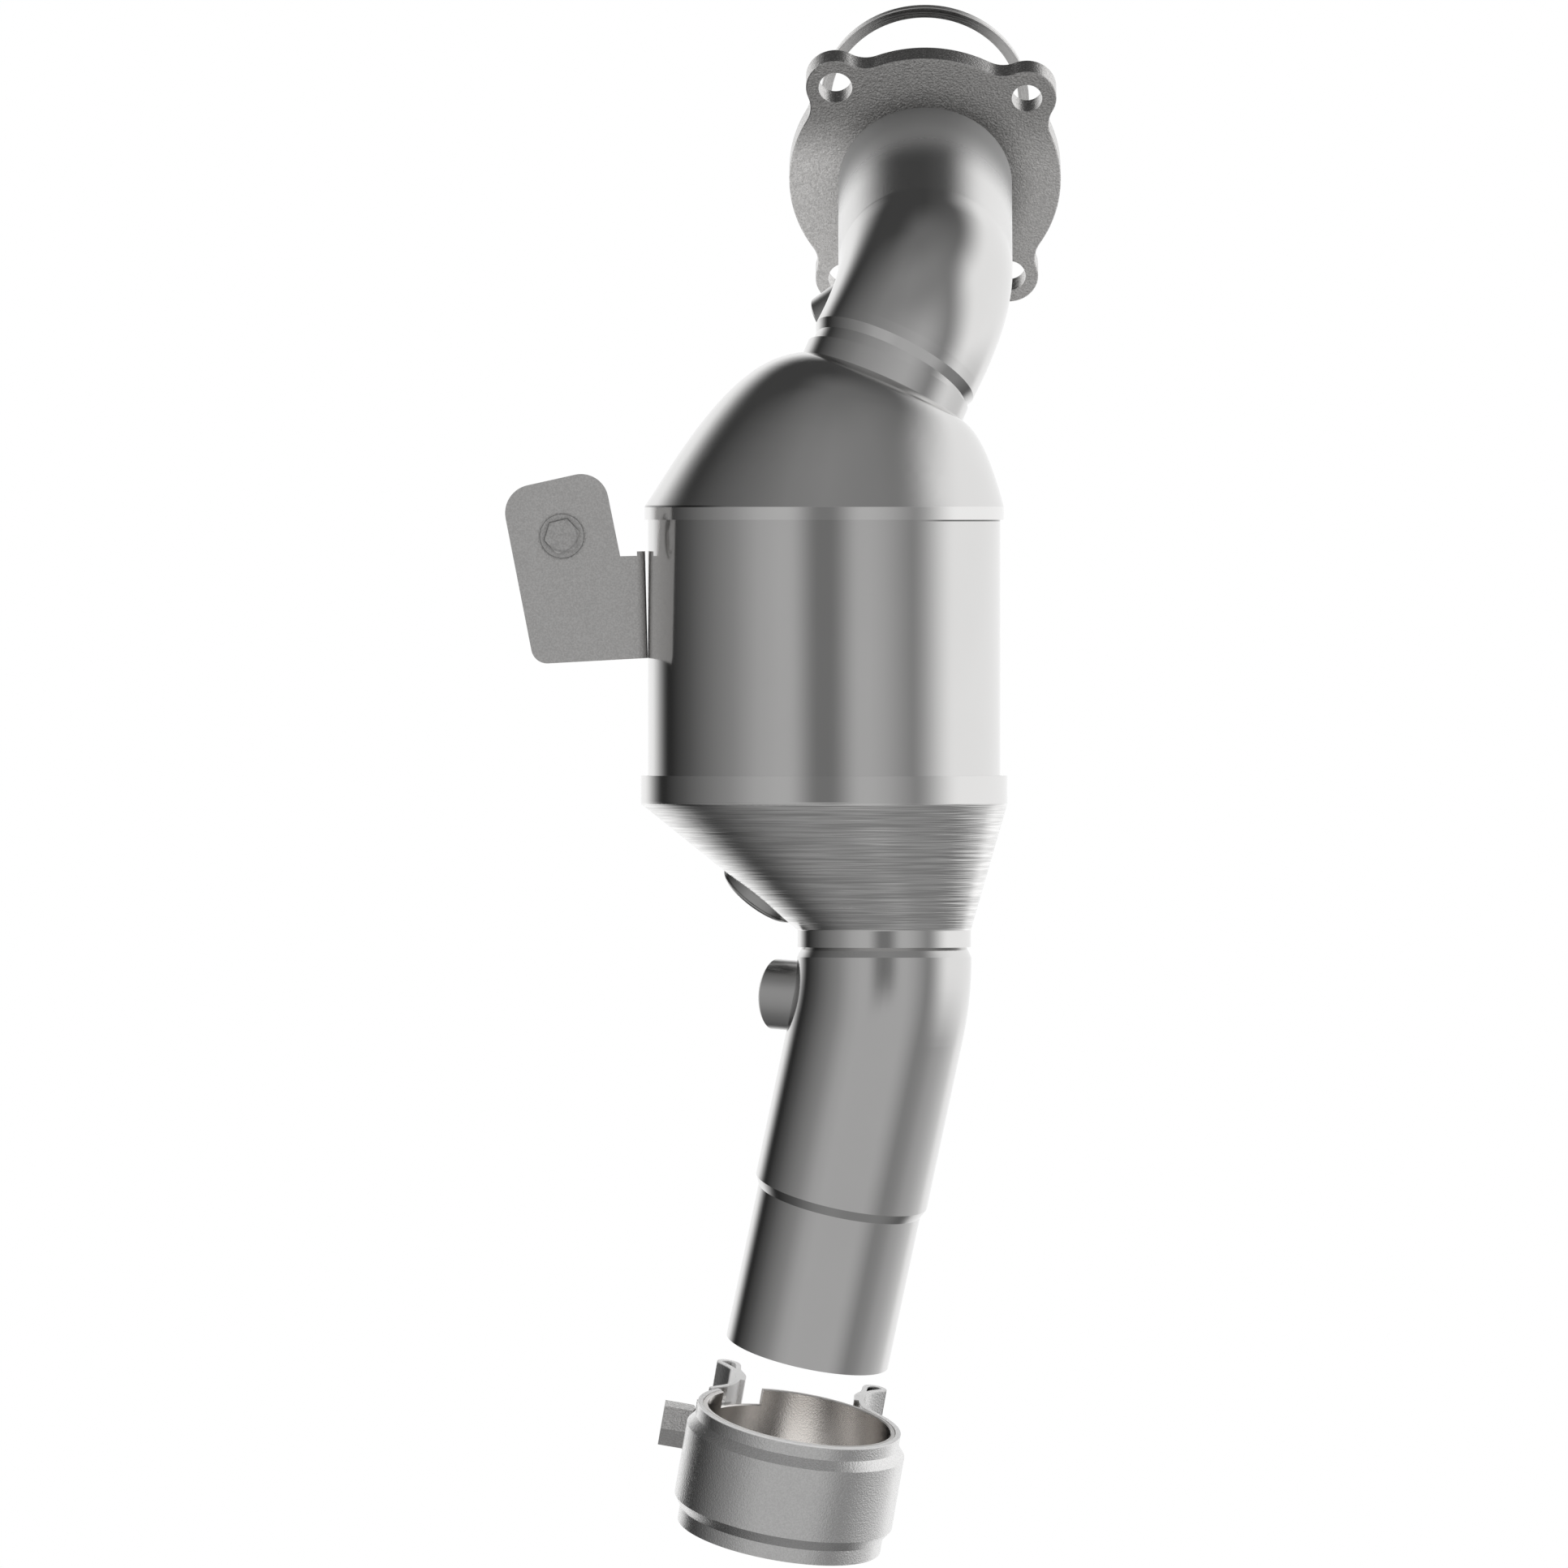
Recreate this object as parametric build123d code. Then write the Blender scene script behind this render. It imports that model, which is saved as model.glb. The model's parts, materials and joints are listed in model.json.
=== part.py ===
from build123d import *
import math
import os

# Catalytic converter with a bent inlet pipe and flange, an eccentric can, an outlet pipe,
# and the loose gasket and band clamp that are fitted with it. Millimetres and degrees.
# X runs to the right of the hanger side, Y away from the flange's tube side, Z up along the can.

# Pipe and slip joints
pipe_r = 32.2
pipe_wall = 1.5
sized_r = 30.45
swage_length = 3.6
neck_show = 0.1
slip_fit = 0.05
collar_wall = 1.5

# Can: the shell sits between the outlet cone's sleeve edge at height zero and the inlet cone's rim
shell_r = 65.0
shell_wall = 1.5
shell_show = 94.4
end_gap = 0.3

# Ceramic brick, its mat and the mesh rings that close the mat's ends
packing_space = 4.3
brick_length = 82.0
mat_length = 70.0
seal_length = 5.0
packing_fit = 0.1

# Inlet cone
rim_height = 4.75
inlet_wall = 1.2
inlet_fit = 0.1
dome_height = 43.0
dome_side = 21.1
dome_back = 11.0
dome_sections = 6
dome_side_lean = 24.0
dome_back_lean = 9.2
lean_rate = 1.15
neck_shoulder = 0.5
inlet_collar = 6.3
collar_side_lean = 23.5
collar_back_lean = 13.0

# Inlet pipe
collar_grip = 5.0
neck_rise = 2.4
inlet_side_lean = 26.7
inlet_back_lean = 16.0
inlet_tail = 4.1
inlet_bend = 48.0
inlet_straight = 69.7

# Inlet flange, drawn as it is seen from its tube side
flange_tilt = 27.7
flange_thick = 9.5
flange_r = 50.3
flange_rise = 2.0
seat_depth = 6.5
ear_r = 10.9
ear_blend = 11.0
edge_break = 0.4
bolt_circle_r = 50.75
bolt_hole_r = 6.25
dowel_hole_r = 5.65
ear_angles = {"upper_left": 130.9, "upper_right": 42.0,
              "lower_right": -52.2, "lower_left": 234.3}
dowel_ear = "upper_right"

# Gasket ring, drawn off its seat
gasket_r = 38.7
gasket_width = 3.9
gasket_thick = 3.2
gasket_gap = 53.8
gasket_groove = 0.6
groove_from_face = 0.9
gasket_dish = 0.4

# Outlet cone
sleeve_depth = 10.35
sleeve_wall = 2.3
sleeve_fit = 0.3
sleeve_round = 2.0
cone_drop = 46.5
outlet_side = 22.2
outlet_collar = 6.45

# Outlet pipe
outlet_grip = 5.5
outlet_tail = 0.1
outlet_bend = 80.0
outlet_side_lean = 12.0
outlet_back_lean = 12.2
outlet_straight = 65.5
slip_end = 58.5

# Sensor bungs, tapped M18 x 1.5, and the stepped one set through the outlet cone
bung_r = 12.95
tap_r = 8.25
bung_chamfer = 0.8
sensor_hole_r = 9.2
upper_bung_along = 62.0
upper_bung_turn = 218.7
upper_bung_reach = 44.5
lower_bung_drop = 16.9
lower_bung_back = 27.0
lower_bung_lift = 4.0
lower_bung_reach = 46.0
boss_r = 16.0
boss_turn = 28.5
boss_drop = 32.0
boss_height = 2.9
boss_groove = 0.6
stem_r = 12.4
stem_depth = 7.0

# Hanger bracket, bent from one sheet
bracket_sheet = 3.0
bracket_front = -5.0
bracket_tab = 15.0
bracket_bend = 3.2
bracket_foot = 43.4
bracket_lean = 1.5
bracket_gap = 0.05
bracket_arm = 37.8
bracket_tab_height = 39.4
bracket_throat = -9.2
bracket_corners = {"foot": (-42.0, -1.2, 6.0), "outer": (-52.8, 62.9, 10.5),
                   "inner": (-14.9, 70.3, 10.2)}
bracket_hole_fit = 0.1
bracket_hole_place = (-30.5, 45.8)

# Bracket bolt, M8 with a pressed-on flange and a plain shoulder through the bracket
stud_r = 4.0
stud_reach = 17.0
stud_shoulder_r = 4.6
stud_shoulder = 3.5
stud_hex = 12.0
stud_turn = 12.0
stud_hex_height = 4.2
stud_flange_r = 8.3
stud_flange_height = 1.3

# Band clamp, drawn off the pipe end
clamp_x = -9.1
clamp_z = -237.3
clamp_side_lean = 9.9
clamp_front_lean = 14.0
clamp_height = 45.4
clamp_sheet = 1.9
clamp_lip_r = 38.0
clamp_raise = 2.75
clamp_top_lip = 5.0
clamp_top_slope = 3.4
clamp_foot_lip = 5.6
clamp_foot_slope = 4.1
clamp_fit = 0.05
sleeve_sheet = 1.8
notch_depth = 6.0
notch_from = 115.3
notch_to = 148.4
band_ends = 34.0
end_run = 11.5

# Clamp lugs, seen along the clamp's axis; the bolt lies across them behind the band
lug_middle = -1.6
lug_root = (26.0, 29.3)
lug_waist = (23.1, 44.0)
lug_tip = (30.9, 60.4)
lug_crown = (29.4, 63.2)
lug_fold = (26.0, 60.9)
lug_inside = (25.4, 53.5)
lug_tail = (23.4, 39.2)
lug_splay = 0.28
bolt_back = 50.0
bolt_drop = 24.1
bolt_r = 5.0
bolt_clearance = 0.5
bolt_hex = 15.0
nut_length = 11.5
head_length = 5.8
nut_spacer_length = 11.0
head_spacer_length = 8.0
spacer_width = 15.0
spacer_height = 18.0
thread_short = 1.5
hex_crown = 0.95

BASE = (Align.CENTER, Align.CENTER, Align.MIN)
UP = Vector(0, 0, 1)
BACK = Vector(0, 1, 0)

bore_r = pipe_r - pipe_wall
collar_r = sized_r + slip_fit + collar_wall
brick_r = shell_r - shell_wall - packing_space
rim_r = shell_r + inlet_fit + inlet_wall
sleeve_r = shell_r + sleeve_fit + sleeve_wall
rim_top = shell_show + rim_height
bracket_hole_r = stud_shoulder_r + bracket_hole_fit


def lean(side, back):
    """Upward direction leaned to the right by side and away by back."""
    a, b = math.radians(side), math.radians(back)
    return Vector(math.sin(a) * math.cos(b), math.sin(b), math.cos(a) * math.cos(b))


def across(origin, axis):
    """Plane square to an axis, with its x direction in the XZ plane."""
    return Plane(origin=origin, x_dir=BACK.cross(axis), z_dir=axis)


def rod(plane, low, high, radius):
    """Solid rod between two heights above a plane."""
    return plane * Pos(0, 0, low) * Cylinder(radius, high - low, align=BASE)


def height_above(foot, axis, shape):
    return (shape.center() - foot).dot(axis)


def tube(plane, low, high, outer, inner):
    """Straight tube between two heights above a plane."""
    return rod(plane, low, high, outer) - rod(plane, low, high, inner)


def swage(plane, low, high, radius_low, radius_high, wall):
    """Short conical tube that joins two diameters of one pipe."""
    height = high - low
    outer = Cone(radius_low, radius_high, height, align=BASE)
    inner = Cone(radius_low - wall, radius_high - wall, height, align=BASE)
    return plane * Pos(0, 0, low) * (outer - inner)


def run_of_pipe(path, outer, inner=0):
    """Round bar or tube swept along a path."""
    start = Plane(origin=path @ 0, z_dir=path % 0)
    section = Circle(outer) - Circle(inner) if inner else Circle(outer)
    return sweep(start * section, path=path)


def bent_path(start, corner, end, radius):
    """Two straight runs joined by one tangent arc."""
    return FilletPolyline(start, corner, end, radius=radius)


def tangent_length(first, second, radius):
    """Distance from a bend's corner to where its arc starts."""
    return radius * math.tan(math.radians(first.get_angle(second)) / 2)


# Inlet cone: a pressed dome that runs from the round rim to a leaned neck, with a collar on it
neck_centre = Vector(dome_side, dome_back, rim_top + dome_height)
collar_axis = lean(collar_side_lean, collar_back_lean)
collar_plane = across(neck_centre, collar_axis)


def dome(wall):
    """Solid dome, drawn in from the outer skin by wall along its normal."""
    fall = rim_r - collar_r - neck_shoulder
    sections = []
    for step in range(dome_sections + 1):
        u = step / dome_sections
        rise = dome_height * math.pi / 2 * math.cos(math.pi * u / 2)
        slope = math.hypot(rise, fall)
        inward, down = (rise / slope, fall / slope) if step else (1, 0)
        axis = lean(dome_side_lean * u ** lean_rate, dome_back_lean * u ** lean_rate)
        height = rim_top + dome_height * math.sin(math.pi * u / 2)
        plane = across(Vector(dome_side * u, dome_back * u, height) - axis * (wall * down), axis)
        sections.append(plane * Circle(rim_r - fall * u - wall * inward))
    return loft(sections)


def make_inlet_cone():
    rim = tube(Plane.XY, shell_show, rim_top, rim_r, shell_r + inlet_fit)
    mouth = rod(Plane.XY, shell_show, rim_top, shell_r + inlet_fit)
    foot = -math.sin(math.radians(collar_back_lean - dome_back_lean)) * collar_r
    collar = rod(collar_plane, foot, inlet_collar, collar_r)
    bore = rod(collar_plane, -inlet_collar, inlet_collar, sized_r + slip_fit)
    return dome(0) + rim + collar - dome(inlet_wall) - mouth - bore


# Can and what it holds
def make_canister_shell():
    low = end_gap - sleeve_depth
    return tube(Plane.XY, low, rim_top - end_gap, shell_r, shell_r - shell_wall)


def brick_middle():
    return shell_show / 2


def make_catalyst_brick():
    low = brick_middle() - brick_length / 2
    return rod(Plane.XY, low, low + brick_length, brick_r)


def packing_ring(low, high):
    return tube(Plane.XY, low, high, shell_r - shell_wall - packing_fit, brick_r + packing_fit)


def make_support_mat():
    return packing_ring(brick_middle() - mat_length / 2, brick_middle() + mat_length / 2)


def make_mat_seal(side):
    near = brick_middle() + side * (mat_length / 2 + packing_fit)
    far = near + side * seal_length
    return packing_ring(min(near, far), max(near, far))


# Inlet pipe and flange
mouth_axis = Vector(0, math.cos(math.radians(flange_tilt)), math.sin(math.radians(flange_tilt)))
collar_top = neck_centre + collar_axis * inlet_collar
inlet_axis = lean(inlet_side_lean, inlet_back_lean)
inlet_foot = across(collar_top + collar_axis * neck_rise, inlet_axis)
inlet_tangent = tangent_length(inlet_axis, mouth_axis, inlet_bend)
inlet_corner = inlet_foot.origin + inlet_axis * (swage_length + inlet_tail + inlet_tangent)
flange_front = inlet_corner + mouth_axis * (inlet_straight + inlet_tangent)
gasket_face = flange_front + mouth_axis * flange_thick
flange_plane = Plane(origin=gasket_face, x_dir=(1, 0, 0), z_dir=-mouth_axis)
disc_plane = flange_plane.shift_origin(gasket_face + flange_plane.y_dir * flange_rise)
inlet_path = bent_path(inlet_foot.origin + inlet_axis * swage_length, inlet_corner,
                       flange_front + mouth_axis * seat_depth, inlet_bend)
upper_bung_foot = flange_front - mouth_axis * upper_bung_along
upper_bung_axis = (flange_plane.x_dir * math.cos(math.radians(upper_bung_turn))
                   + flange_plane.y_dir * math.sin(math.radians(upper_bung_turn)))


def neck_turn(radius):
    """Solid neck between the collar's rim and the swage, where the pipe turns off the collar's axis."""
    return loft([across(collar_top, collar_axis) * Circle(radius), inlet_foot * Circle(radius)])


def make_inlet_elbow():
    end = tube(across(collar_top, collar_axis), -collar_grip, 0, sized_r, sized_r - pipe_wall)
    turn = neck_turn(sized_r) - neck_turn(sized_r - pipe_wall)
    step = swage(inlet_foot, 0, swage_length, sized_r, pipe_r, pipe_wall)
    hole = rod(across(upper_bung_foot, upper_bung_axis), 0, upper_bung_reach, sensor_hole_r)
    return end + turn + step + run_of_pipe(inlet_path, pipe_r, bore_r) - hole


def ear_places():
    for name, angle in ear_angles.items():
        turn = math.radians(angle)
        yield name, (bolt_circle_r * math.cos(turn), bolt_circle_r * math.sin(turn))


def make_inlet_flange():
    outline = Circle(flange_r)
    for name, (x, y) in ear_places():
        outline += Pos(x, y) * Circle(ear_r)
    outline = fillet(outline.vertices(), ear_blend)
    plate = extrude(outline, flange_thick)
    plate = chamfer(plate.faces().sort_by(Axis.Z)[-1].outer_wire().edges(), edge_break)
    for name, (x, y) in ear_places():
        radius = dowel_hole_r if name == dowel_ear else bolt_hole_r
        plate -= Pos(x, y) * Cylinder(radius, 3 * flange_thick)
    plate = disc_plane.location * plate
    seat = rod(flange_plane, flange_thick - seat_depth, 2 * flange_thick, pipe_r + slip_fit)
    return plate - seat - rod(flange_plane, -flange_thick, 2 * flange_thick, bore_r)


def make_gasket_ring():
    inner = gasket_r - gasket_width
    front = -gasket_gap
    back = front - gasket_thick
    groove = front - groove_from_face
    half = gasket_groove / 2
    profile = Polyline((inner, back), (gasket_r, back), (gasket_r, groove - half),
                       (gasket_r - gasket_groove, groove), (gasket_r, groove + half),
                       (gasket_r, front), (inner, front - gasket_dish), close=True)
    ring = revolve(Plane.XZ * make_face(profile), Axis.Z)
    return disc_plane.location * ring


# Outlet cone: sleeve, eccentric cone and collar turned in one piece
cone_top = -sleeve_depth
cone_foot = cone_top - cone_drop
collar_foot = cone_foot - outlet_collar
outlet_axis_x = Pos(outlet_side, 0, 0)


def outlet_bell(upper_r, lower_r):
    """Solid eccentric cone between the sleeve and the collar."""
    upper = Pos(0, 0, cone_top) * Circle(upper_r)
    lower = Pos(outlet_side, 0, cone_foot) * Circle(lower_r)
    return loft([upper, lower])


def outlet_outside(grow=0.0):
    sleeve = rod(Plane.XY, cone_top, 0, sleeve_r + grow)
    collar = rod(Plane.XY, collar_foot, cone_foot, collar_r + grow)
    return outlet_bell(sleeve_r + grow, collar_r + grow) + sleeve + outlet_axis_x * collar


def boss_seat():
    """Foot and outward direction of the boss on the back of the outlet cone."""
    part = boss_drop / cone_drop
    turn = math.radians(boss_turn)
    radius = sleeve_r - (sleeve_r - collar_r) * part
    foot = Vector(outlet_side * part - radius * math.cos(turn), radius * math.sin(turn), cone_top - boss_drop)
    fall = (-outlet_side * math.cos(turn) - (sleeve_r - collar_r)) / cone_drop
    return foot, Vector(-math.cos(turn), math.sin(turn), fall).normalized()


def make_outlet_cone():
    inner_r = shell_r + sleeve_fit
    outside = outlet_outside()
    rims = outside.edges().filter_by(GeomType.CIRCLE)
    shoulder = rims.filter_by_position(Axis.Z, cone_top - 0.01, cone_top + 0.01)
    outside = fillet(shoulder, sleeve_round)
    inside = outlet_bell(inner_r, sized_r + slip_fit) + rod(Plane.XY, cone_top, 0, inner_r)
    bore = outlet_axis_x * rod(Plane.XY, collar_foot, cone_foot, sized_r + slip_fit)
    foot, axis = boss_seat()
    hole = rod(across(foot, axis), -boss_r, boss_height, stem_r + slip_fit)
    return outside - inside - bore - hole


def make_cone_boss():
    foot, axis = boss_seat()
    plane = across(foot, axis)
    body = rod(plane, -boss_r, boss_height, boss_r)
    rim = body.edges().filter_by(GeomType.CIRCLE).sort_by(lambda edge: height_above(foot, axis, edge))[-1]
    body = chamfer(rim, bung_chamfer)
    low = boss_height - 3 * boss_groove
    groove = tube(plane, low, low + boss_groove, boss_r, boss_r - boss_groove)
    stem = rod(plane, -stem_depth, 0, stem_r)
    hole = rod(plane, -boss_r, boss_height, tap_r)
    return (body - groove - outlet_outside(slip_fit)) + stem - hole


# Outlet pipe: both ends sized down, one bend just under the collar
outlet_axis = lean(outlet_side_lean, -outlet_back_lean)
neck_foot = collar_foot - neck_show
bend_top = Vector(outlet_side, 0, neck_foot - swage_length)
outlet_tangent = tangent_length(UP, outlet_axis, outlet_bend)
outlet_corner = bend_top - UP * (outlet_tail + outlet_tangent)
step_top = outlet_corner - outlet_axis * (outlet_tangent + outlet_straight)
outlet_path = bent_path(bend_top, outlet_corner, step_top, outlet_bend)
lower_bung_turn = math.radians(180 - lower_bung_back)
lower_bung_axis = Vector(math.cos(lower_bung_turn), math.sin(lower_bung_turn),
                         math.tan(math.radians(lower_bung_lift))).normalized()
lower_bung_foot = bend_top - UP * lower_bung_drop


def make_outlet_pipe():
    top = across(bend_top, UP)
    grip = swage_length + neck_show + outlet_grip
    neck = tube(top, swage_length, grip, sized_r, sized_r - pipe_wall)
    flare = swage(top, 0, swage_length, pipe_r, sized_r, pipe_wall)
    low = across(step_top, outlet_axis)
    step = swage(low, -swage_length, 0, sized_r, pipe_r, pipe_wall)
    end = tube(low, -swage_length - slip_end, -swage_length, sized_r, sized_r - pipe_wall)
    hole = rod(across(lower_bung_foot, lower_bung_axis), 0, lower_bung_reach, sensor_hole_r)
    return neck + flare + run_of_pipe(outlet_path, pipe_r, bore_r) + step + end - hole


def sensor_bung(foot, axis, reach, path):
    """Turned bung with a tapped hole, its foot cut to the pipe that it stands on."""
    plane = across(foot, axis)
    body = rod(plane, 0, reach, bung_r)
    rim = body.edges().filter_by(GeomType.CIRCLE).sort_by(lambda edge: height_above(foot, axis, edge))[-1]
    body = chamfer(rim, bung_chamfer) - rod(plane, 0, reach, tap_r)
    cut = body - run_of_pipe(path, pipe_r + slip_fit)
    return cut.solids().sort_by(lambda solid: height_above(foot, axis, solid))[-1]


# Hanger bracket: a lobed plate and the tab bent back from it, welded to the side of the can
bracket_place = (Pos(-shell_r - bracket_gap, bracket_front, bracket_foot)
                 * Rot(90, 0, 0) * Rot(0, 0, bracket_lean))


def make_hanger_bracket():
    """Drawn from its lower corner on the can, x along the arm, y up the can and z towards the front."""
    foot, outer, inner = bracket_corners.values()
    points = [(0, 0), foot[:2], outer[:2], inner[:2], (bracket_throat, bracket_arm), (0, bracket_arm)]
    face = make_face(Polyline(*points, close=True))
    for x, y, radius in (foot, outer, inner):
        face = fillet(face.vertices().sort_by_distance((x, y, 0))[0], radius)
    face -= Pos(*bracket_hole_place) * Circle(bracket_hole_r)
    plate = extrude(face, -bracket_sheet)
    tab = Box(bracket_sheet, bracket_tab_height, bracket_tab, align=Align.MIN)
    tab = Pos(-bracket_sheet, 0, -bracket_tab) * tab
    side = (Align.MAX, Align.CENTER, Align.MIN)
    corner = Box(bracket_bend, 3 * bracket_tab_height, bracket_bend, align=side)
    bend = Pos(-bracket_bend, 0, 0) * Rot(90, 0, 0) * Cylinder(bracket_bend, 4 * bracket_tab_height)
    return bracket_place * (plate + tab - Pos(0, 0, -bracket_bend) * (corner - bend))


def hexagon(plane, low, high, flats, crowned=("low", "high")):
    """Hexagon between two heights above a plane, its corners turned down at the crowned ends."""
    corner = flats / math.sqrt(3)
    round_bar = Cylinder(corner, high - low, align=BASE)
    rims = round_bar.edges().filter_by(GeomType.CIRCLE).sort_by(Axis.Z)
    across_corner = corner - flats / 2 * hex_crown
    for end, rim in zip(("low", "high"), (rims[0], rims[-1])):
        if end in crowned:
            cap = round_bar.faces().filter_by(GeomType.PLANE).sort_by(Axis.Z)[0 if end == "low" else -1]
            round_bar = chamfer(rim, across_corner, across_corner / 2, reference=cap)
    return plane * Pos(0, 0, low) * (extrude(RegularPolygon(corner, 6), high - low) & round_bar)


def make_bracket_bolt():
    head = Rot(0, 0, stud_turn) * hexagon(Plane.XY, 0, stud_hex_height, stud_hex, ("high",))
    flange = rod(Plane.XY, 0, stud_flange_height, stud_flange_r)
    shoulder = rod(Plane.XY, -stud_shoulder, 0, stud_shoulder_r)
    shank = rod(Plane.XY, -stud_reach, 0, stud_r)
    return bracket_place * Pos(*bracket_hole_place) * (flange + head + shoulder + shank)


# Band clamp: its own frame has z up its axis and y towards the lugs
clamp_axis = lean(clamp_side_lean, -clamp_front_lean)
pipe_end = step_top - outlet_axis * (swage_length + slip_end)
clamp_y = pipe_end.Y + (pipe_end.Z - clamp_z) * -outlet_axis.Y / outlet_axis.Z
clamp_place = across(Vector(clamp_x, clamp_y, clamp_z), clamp_axis).location


def band_profile(depth):
    """Radii and heights of the pressed profile at a depth under the band's skin, from its top lip down."""
    raised = clamp_lip_r + clamp_raise - depth
    lip = clamp_lip_r - depth
    foot = -clamp_height
    return [(lip, 0), (lip, -clamp_top_lip), (raised, -clamp_top_lip - clamp_top_slope),
            (raised, foot + clamp_foot_lip + clamp_foot_slope), (lip, foot + clamp_foot_lip), (lip, foot)]


def pressed_ring(outer, inner, start=0.0, end=360.0):
    """Stretch of the pressed profile between two depths and two angles, counted from x towards the lugs."""
    points = band_profile(outer) + band_profile(inner)[::-1]
    face = Plane.XZ * make_face(Polyline(*points, close=True))
    return Rot(0, 0, start) * revolve(face, Axis.Z, revolution_arc=end - start)


def lug():
    """Right-hand lug: the strap leaves the band, folds over at its tip and comes back along itself."""
    root_turn = math.radians(band_ends)
    middle = clamp_lip_r - clamp_sheet / 2
    root = (middle * math.cos(root_turn) - lug_middle, middle * math.sin(root_turn))
    outer = Spline(root, lug_root, lug_waist, lug_tip,
                   tangents=[(-math.sin(root_turn), math.cos(root_turn)), (0.72, 0.69)])
    back = Spline(lug_waist, lug_inside, lug_fold, tangents=[(0, 1), (0.35, 1)])
    inner = Pos(-clamp_sheet, 0) * back
    fold = ThreePointArc(lug_tip, lug_crown, inner @ 1)
    tail = Pos(-clamp_sheet, 0) * Line(lug_waist, lug_tail)
    strap = Sketch() + [trace(edge, clamp_sheet) for edge in (outer, inner, fold, tail)]
    return extrude(strap, -clamp_height)


def bolt_axis_plane():
    """Plane square to the clamp bolt, in the clamp's own frame, with z to the right."""
    return Plane(origin=(lug_middle, bolt_back, -bolt_drop), x_dir=(0, 1, 0), z_dir=(1, 0, 0))


def make_clamp_band():
    band = pressed_ring(0, clamp_sheet, 180 - band_ends, 360 + band_ends)
    middle = Pos(0, 0, -clamp_height / 2) * Cylinder(2 * clamp_lip_r, clamp_height - 2 * clamp_foot_lip)
    for start in (band_ends, 180 - band_ends - end_run):
        band += pressed_ring(0, clamp_sheet, start, start + end_run) & middle
    right = Pos(lug_middle, 0) * lug()
    left = Pos(lug_middle, 0) * mirror(lug(), about=Plane.YZ)
    points = [(0, 0), (0, -clamp_height)] + band_profile(clamp_sheet)[::-1]
    room = revolve(Plane.XZ * make_face(Polyline(*points, close=True)), Axis.Z)
    hole = rod(bolt_axis_plane(), -clamp_lip_r, clamp_lip_r, bolt_r + bolt_clearance)
    return clamp_place * (band + right + left - room - hole)


def make_clamp_sleeve():
    depth = clamp_sheet + clamp_fit
    sleeve = pressed_ring(depth, depth + sleeve_sheet)
    notch = Rot(0, 0, notch_from) * revolve(
        Plane.XZ * Pos(clamp_lip_r, 0) * Rectangle(clamp_lip_r, 2 * notch_depth),
        Axis.Z, revolution_arc=notch_to - notch_from)
    return clamp_place * (sleeve - notch - Pos(0, 0, -clamp_height) * notch)


def lug_face():
    """How far the strap's outer face stands from the lugs' middle at the bolt."""
    return lug_waist[0] + clamp_sheet / 2 + (bolt_back - lug_waist[1]) * lug_splay


def spacer(length):
    """Spacer on the right-hand lug: a flat face for the nut and a round one that sits on the strap."""
    side = (Align.MIN, Align.CENTER, Align.CENTER)
    block = Box(length, spacer_width, spacer_height, align=side)
    nose = Cylinder(spacer_width / 2, spacer_height)
    tail = Box(spacer_width, spacer_width, spacer_height, align=side)
    body = block & Pos(spacer_width / 2, 0, 0) * (nose + tail)
    body = Pos(lug_middle + lug_face(), bolt_back, -bolt_drop) * body
    return body - rod(bolt_axis_plane(), 0, clamp_height, bolt_r + bolt_clearance)


def make_nut_spacer():
    middle = Plane.YZ.offset(lug_middle)
    return clamp_place * mirror(spacer(nut_spacer_length), about=middle)


def make_head_spacer():
    return clamp_place * spacer(head_spacer_length)


def make_clamp_bolt():
    plane = bolt_axis_plane()
    seat = lug_face() + head_spacer_length
    shank = rod(plane, thread_short - lug_face() - nut_spacer_length - nut_length, seat, bolt_r)
    head = hexagon(plane, seat, seat + head_length, bolt_hex, ("high",))
    return clamp_place * (shank + head)


def make_clamp_nut():
    plane = bolt_axis_plane()
    seat = lug_face() + nut_spacer_length
    nut = hexagon(plane, -seat - nut_length, -seat, bolt_hex)
    return clamp_place * (nut - rod(plane, -2 * seat, 0, bolt_r + slip_fit))


pieces = {
    "inlet_flange": make_inlet_flange(),
    "gasket_ring": make_gasket_ring(),
    "inlet_elbow": make_inlet_elbow(),
    "upper_sensor_bung": sensor_bung(upper_bung_foot, upper_bung_axis, upper_bung_reach, inlet_path),
    "inlet_cone": make_inlet_cone(),
    "canister_shell": make_canister_shell(),
    "support_mat": make_support_mat(),
    "inlet_mat_seal": make_mat_seal(1),
    "outlet_mat_seal": make_mat_seal(-1),
    "catalyst_brick": make_catalyst_brick(),
    "outlet_cone": make_outlet_cone(),
    "cone_boss": make_cone_boss(),
    "outlet_pipe": make_outlet_pipe(),
    "lower_sensor_bung": sensor_bung(lower_bung_foot, lower_bung_axis, lower_bung_reach, outlet_path),
    "hanger_bracket": make_hanger_bracket(),
    "bracket_bolt": make_bracket_bolt(),
    "clamp_band": make_clamp_band(),
    "clamp_sleeve": make_clamp_sleeve(),
    "clamp_bolt": make_clamp_bolt(),
    "clamp_nut": make_clamp_nut(),
    "nut_spacer": make_nut_spacer(),
    "head_spacer": make_head_spacer(),
}

# The centre of the pipe bore on the gasket face is the row's origin
os.makedirs("parts", exist_ok=True)
for name, piece in pieces.items():
    export_step(Location(-gasket_face) * piece, f"parts/{name}.step")
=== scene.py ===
import json
import math

import bmesh
import bpy
from mathutils import Matrix, Vector


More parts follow.
